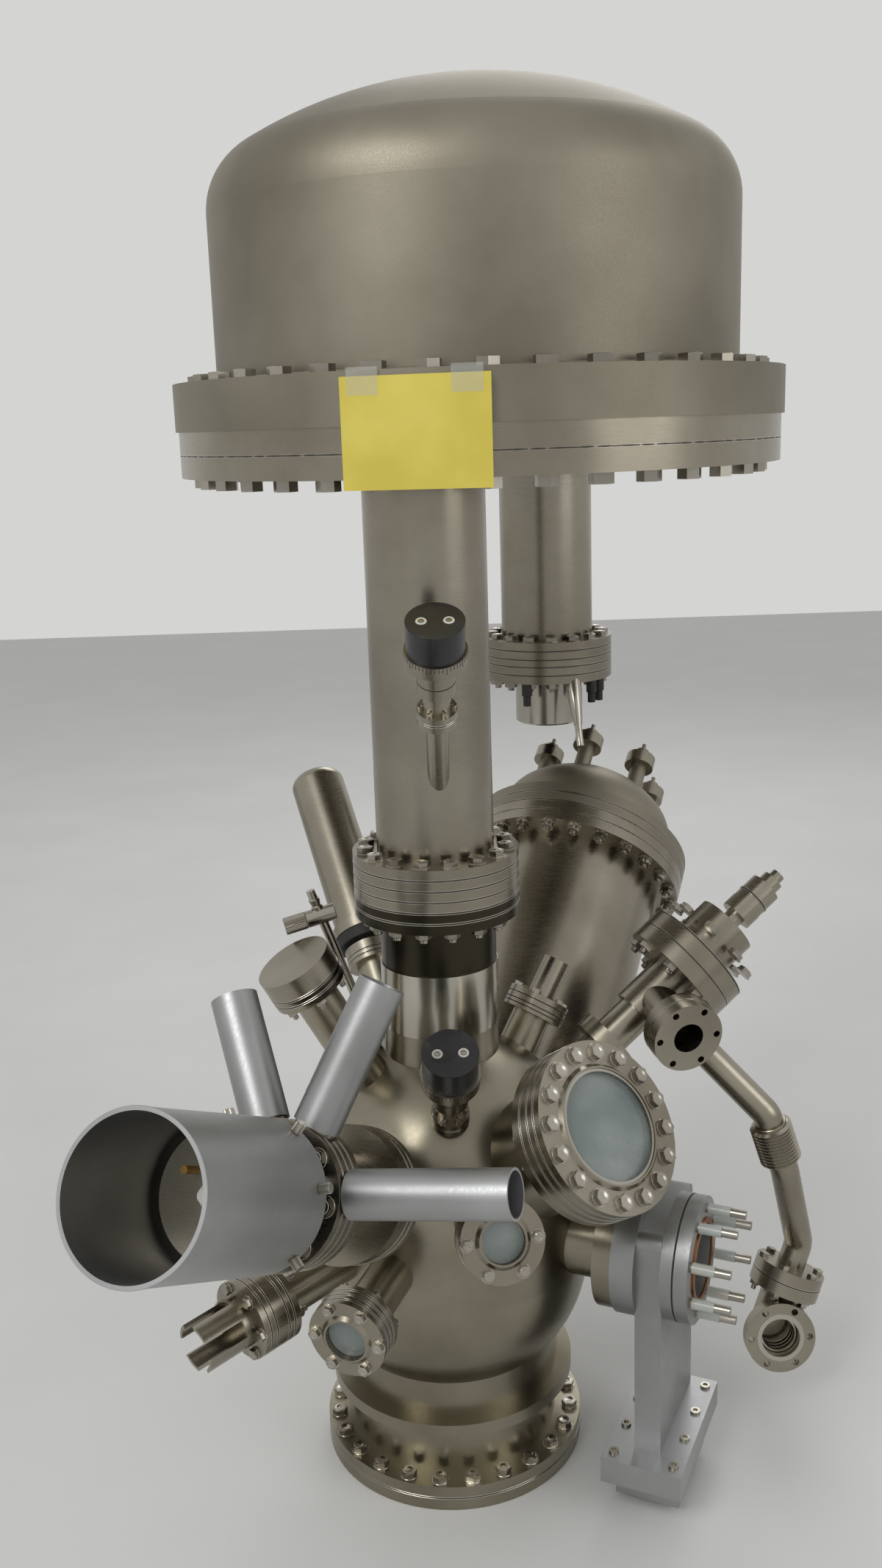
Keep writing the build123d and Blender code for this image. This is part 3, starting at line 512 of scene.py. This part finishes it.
def dress_ion_and_line():
    ion = port("ion")
    seams("ion_seam", ion, DN63.radius, [326, 343])
    ring("ion_root", ion, 24, 30.5, 214, 216, STEEL_BRIGHT)
    washers("ion_washers", ion, DN63, 359.2)
    many("ion_heads", ion, bolt_spots(DN63, 360), HEAD_DN63, FASTENER, 6)
    nuts("ion_nuts", ion, DN63, 309)
    seams("ion_tip_seam", ion, 17, [422.5])
    side = placed(AIM + heading(110.5, 36.3) * 279, heading(16, -7))
    seams("side_seam", side, DN40.radius, [71.3])
    ring("side_lip", side, 19.5, 24, 82.6, 83.2, STEEL_BRIGHT)
    up = Vector((0.35, 0.2, 0.915)).normalized()
    bend = Vector((358, 50, 158))
    top = bend - up * 38
    seams("tee_seam", placed(top, up), DN40.radius, [0.0])
    nuts("tee_nuts", placed(top, up), DN40, -DN40.thick, point=5)
    many("tee_heads", placed(top, up), bolt_spots(DN40, DN40.thick), HEAD_DN40, FASTENER, 6)
    centre = top - up * 50
    front = placed(centre, Vector((0.03, -0.98, 0.19)))
    ring("tee_lip", front, 19.6, 24, 36.6, 38.3, STEEL_BRIGHT)
    for i in range(4):
        low = 8 + 6 * i
        ring(f"tee_rib_{i}", front, 16.6, 18.8, low, low + 2.5, STEEL_BRIGHT, 48, bevel=0.8)
    start = Vector((314, 18, 319))
    end = Vector((330, 21, 269))
    run = (end - start).normalized()
    for i, level in enumerate((11.0, (end - start).length)):
        ring(f"bellows_cuff_{i}", placed(start, run), 13, 16.5, level - 2, level + 2, STEEL, 48, bevel=0.6)


def dress_valve():
    place = port("valve")
    stud_turn = 22.5
    sleeve = [(4.15, 0), (5.0, 0), (5.0, 20), (4.15, 20)]
    thread = [(3.6, 0), (4.15, 0.5), (4.15, 0.7), (3.6, 1.2)]
    screw = [(CORE, -0.6), (4.6, -0.6), (4.6, 2.4), (2.4, 2.4), (2.2, 1.0), (CORE, 1.0)]
    many("stud_sleeves", place, bolt_spots(DN63, 253, stud_turn), sleeve, SLEEVE, 18)
    for i in range(8):
        spots = bolt_spots(DN63, 274.5 + 1.5 * i, stud_turn)
        many(f"stud_threads_{i}", place, spots, thread, STEEL_BRIGHT, 16)
    ring("adapter_groove", place, 55, 57.15, 237, 239, SEAM)
    for name, half, deep, level in (("bonnet_screws", 60, 28, -177), ("actuator_screws", 40, 22, -202)):
        spots = [(x, z, 0) for x in (-half, -half / 3, half / 3, half) for z in (deep, -deep)]
        down = place @ Matrix.Translation((0, level * MM, 0.2142))
        down = down @ Matrix.Rotation(math.radians(-90), 4, "X")
        many(name, down, spots, screw, FASTENER, 20)


# ---------------------------------------------------------------- knob drives
def dress_drive(name, point, direction, stub, knob_body):
    """Dial marks, collar groove, screws on the knob and the pair's seam."""
    place = placed(point, direction)
    top = stub + DN16_THICK
    seams(f"{name}_seam", place, DN16_RADIUS, [stub])
    many(f"{name}_socket_screws", place, [(x, y, top) for x, y in circle(6, DN16_CIRCLE)],
         [(CORE, 0), (3.1, 0), (3.1, 3.2), (1.5, 3.2), (1.4, 1.8), (CORE, 1.8)], FASTENER, 16)
    ring(f"{name}_groove", place, 15, 16.15, top + 30, top + 31.4, SEAM)
    dial = top + 50
    proud = DIAL_RADIUS + 0.08
    marks, faces = [], []
    for i in range(50):
        a = 2 * math.pi * i / 50
        tall = 6.5 if i % 5 == 0 else 4.0
        for edge in (-0.3, 0.3):
            b = a + edge / DIAL_RADIUS
            for level in (dial + 11.6 - tall, dial + 11.6):
                marks.append((proud * math.cos(b), proud * math.sin(b), level))
        n = 4 * i
        faces.append((n, n + 2, n + 3, n + 1))
    add(f"{name}_dial_marks", marks, faces, INK, place, smooth=False)
    low = dial + 12.3
    ring(f"{name}_knob_edge", place, 20, 24.15, low + 27.0, low + 28.1, KNOB, body=knob_body, bevel=0.9)
    for side in (-1, 1):
        many(f"{name}_white_ring_{side + 1}", place, [(11 * side, 0, low + 28)],
             [(2.6, 0), (4.6, 0), (4.2, 0.5), (2.9, 0.5)], CERAMIC, 24, knob_body)
        many(f"{name}_knob_screw_{side + 1}", place, [(11 * side, 0, low + 28)],
             [(CORE, 0), (2.5, 0), (2.3, 0.7), (CORE, 0.8)], FASTENER, 20, knob_body)


# ---------------------------------------------------------------- card
def dress_card():
    """Strips of clear tape over the card's upper corners."""
    low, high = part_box("number_card")
    centre = (low + high) / 2
    front = heading(-11.5, 0)
    across = Vector((0, 0, 1)).cross(front).normalized()
    for i, side in enumerate((-1, 1)):
        middle = centre + across * side * 0.043 + Vector((0, 0, 0.041)) + front * 0.0009
        corners = [middle + across * (sx * 0.013) + Vector((0, 0, sz * 0.011)) for sx, sz in
                   ((-1, -1), (1, -1), (1, 1), (-1, 1))]
        verts = [tuple(c / MM) for c in corners]
        add(f"card_tape_{i}", verts, [(0, 1, 2, 3)], TAPE, Matrix.Identity(4), smooth=False)


# ---------------------------------------------------------------- room, light and camera
def room():
    """Pale floor, pale grey surroundings and soft lamps."""
    mesh = bpy.data.meshes.new("floor")
    reach, level = 6, -0.0005
    corners = [(x * reach, y * reach, level) for x, y in ((-1, -1), (1, -1), (1, 1), (-1, 1))]
    mesh.from_pydata(corners, [], [(0, 1, 2, 3)])
    floor = bpy.data.objects.new("floor", mesh)
    bpy.context.scene.collection.objects.link(floor)
    floor.data.materials.append(plain("pale_floor", linear(222, 222, 220), linear(228, 228, 226), 0.7, 3.0))
    world = bpy.data.worlds.new("studio")
    bpy.context.scene.world = world
    world.use_nodes = True
    nodes, links = world.node_tree.nodes, world.node_tree.links
    light = nodes["Background"]
    light.inputs["Color"].default_value = (1, 1, 1, 1)
    light.inputs["Strength"].default_value = 0.45
    seen = nodes.new("ShaderNodeBackground")
    seen.inputs["Color"].default_value = (0.66, 0.66, 0.65, 1)
    seen.inputs["Strength"].default_value = 1.0
    path = nodes.new("ShaderNodeLightPath")
    either = nodes.new("ShaderNodeMath")
    either.operation = "MAXIMUM"
    links.new(path.outputs["Is Camera Ray"], either.inputs[0])
    links.new(path.outputs["Is Glossy Ray"], either.inputs[1])
    all_three = nodes.new("ShaderNodeMath")
    all_three.operation = "MAXIMUM"
    links.new(either.outputs[0], all_three.inputs[0])
    links.new(path.outputs["Is Transmission Ray"], all_three.inputs[1])
    mix = nodes.new("ShaderNodeMixShader")
    links.new(all_three.outputs[0], mix.inputs["Fac"])
    links.new(light.outputs[0], mix.inputs[1])
    links.new(seen.outputs[0], mix.inputs[2])
    links.new(mix.outputs[0], nodes["World Output"].inputs["Surface"])
    lamps = (("key", (-1.6, -1.9, 2.6), 34, 1.4), ("fill", (2.2, -1.4, 1.6), 12, 1.6),
             ("back", (0.6, 2.4, 2.4), 16, 1.6))
    for name, place, energy, size in lamps:
        lamp = bpy.data.lights.new(name, "AREA")
        lamp.energy = energy
        lamp.size = size
        piece = bpy.data.objects.new(name, lamp)
        bpy.context.scene.collection.objects.link(piece)
        piece.location = place
        piece.rotation_euler = (Vector((0, 0.1, 0.6)) - Vector(place)).to_track_quat("-Z", "Y").to_euler()


def camera():
    """Portrait view from the front, a little above, looking down."""
    data = bpy.data.cameras.new("camera")
    data.sensor_fit = "VERTICAL"
    data.sensor_height = 36.0
    data.sensor_width = 36.0
    data.lens = 32.93
    data.clip_end = 40.0
    eye = bpy.data.objects.new("camera", data)
    bpy.context.scene.collection.objects.link(eye)
    turn = Matrix.Rotation(math.radians(76), 4, "X") @ Matrix.Rotation(math.radians(-1.9), 4, "Z")
    eye.matrix_world = Matrix.Translation((0.007, -1.26, 0.98)) @ turn
    bpy.context.scene.camera = eye


# Painted shade on the neck above its sleeve.
paint_neck_shade(CHAMBER)
dress_nodes()
dress_columns()
dress_detector_end()
dress_vent_valve()
dress_base()
dress_ports()
dress_gun()
dress_ion_and_line()
dress_valve()
dress_drive("column_drive", (5, -48, 683), heading(1, 60), 74, "column_drive_knob")
dress_drive("chamber_drive", (5, -84, 362), heading(2, 58), 32, "chamber_drive_knob")
dress_card()
room()
camera()
bpy.context.scene.view_settings.view_transform = "Standard"
